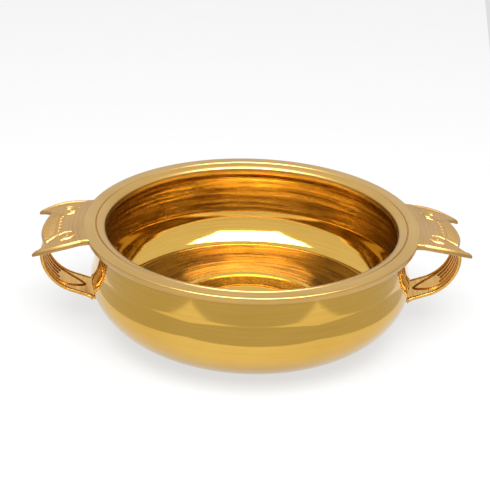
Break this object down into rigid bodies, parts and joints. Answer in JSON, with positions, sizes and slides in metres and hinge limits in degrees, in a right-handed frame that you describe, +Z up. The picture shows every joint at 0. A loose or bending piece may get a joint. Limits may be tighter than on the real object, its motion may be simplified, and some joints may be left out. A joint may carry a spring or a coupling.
{
  "type": "urli bowl",
  "caption": "Wide shallow brass bowl with a flanged rim, round belly, flat foot ring and a pair of fish-tailed plate-and-strap handles.",
  "frame": {"origin": "centre of the flat foot ring, on the table", "axes": "+Z up the bowl's axis; +X out through the right handle; +Y away from the side the bowl is seen from"},
  "size_m": [0.256, 0.2, 0.0655],
  "materials": {
    "turned_brass": "lathe-turned and polished",
    "cast_brass": "cast, lightly brushed satin",
    "brazing_metal": "dressed braze fillet, slightly duller"
  },
  "bodies": {
    "root": {"bowl_shell": "turned_brass", "handle_plate_right": "cast_brass", "handle_plate_left": "cast_brass", "handle_strap_right": "cast_brass", "handle_strap_left": "cast_brass", "rim_braze_right": "brazing_metal", "rim_braze_left": "brazing_metal", "foot_braze_right": "brazing_metal", "foot_braze_left": "brazing_metal", "tip_braze_right": "brazing_metal", "tip_braze_left": "brazing_metal"}
  },
  "joints": []
}
